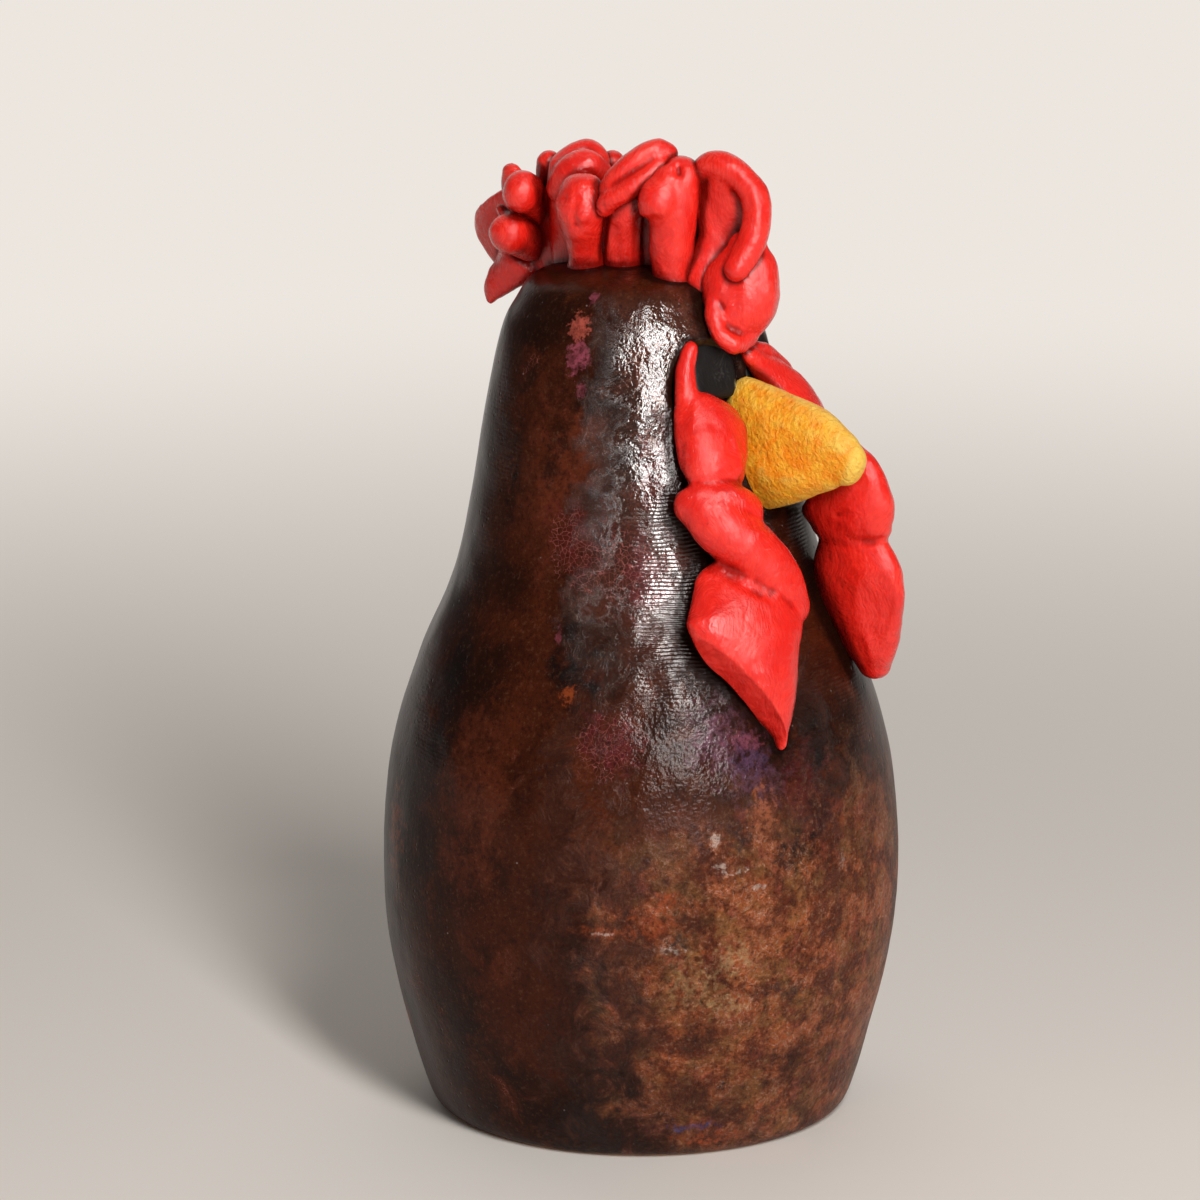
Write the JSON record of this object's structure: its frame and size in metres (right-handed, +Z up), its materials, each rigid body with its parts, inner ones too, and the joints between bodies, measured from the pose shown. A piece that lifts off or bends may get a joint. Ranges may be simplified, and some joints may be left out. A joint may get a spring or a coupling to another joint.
{
  "type": "chicken figurine",
  "caption": "Hollow thrown ceramic chicken figurine with a hand-built clay comb, wattles, eye pats and a short beak, standing on a flat foot.",
  "frame": {"origin": "centre of the flat foot, on the surface that the figurine stands on", "axes": "+Z up along the wheel's axis; the beak points to -Y; the bird's right side is -X"},
  "size_m": [0.1178, 0.1211, 0.2225],
  "materials": {
    "copper_glaze": "dark smoky raku glaze with copper lustre and crackle",
    "red_paint": "semi-gloss red paint with brush marks",
    "yellow_paint": "rough orange-yellow paint",
    "black_paint": "matt black brushed paint"
  },
  "bodies": {
    "root": {"body_shell": "copper_glaze", "right_eye": "black_paint", "left_eye": "black_paint", "beak": "yellow_paint", "comb_thick_finger": "red_paint", "comb_knobbed_finger": "red_paint", "comb_folded_finger": "red_paint", "comb_front_flap": "red_paint", "comb_front_lobe": "red_paint", "comb_top_curl": "red_paint", "comb_top_knob": "red_paint", "comb_small_knob": "red_paint", "comb_rear_flap": "red_paint", "comb_rear_upper_knob": "red_paint", "comb_rear_lower_knob": "red_paint", "right_wattle": "red_paint", "left_wattle": "red_paint"}
  },
  "joints": []
}
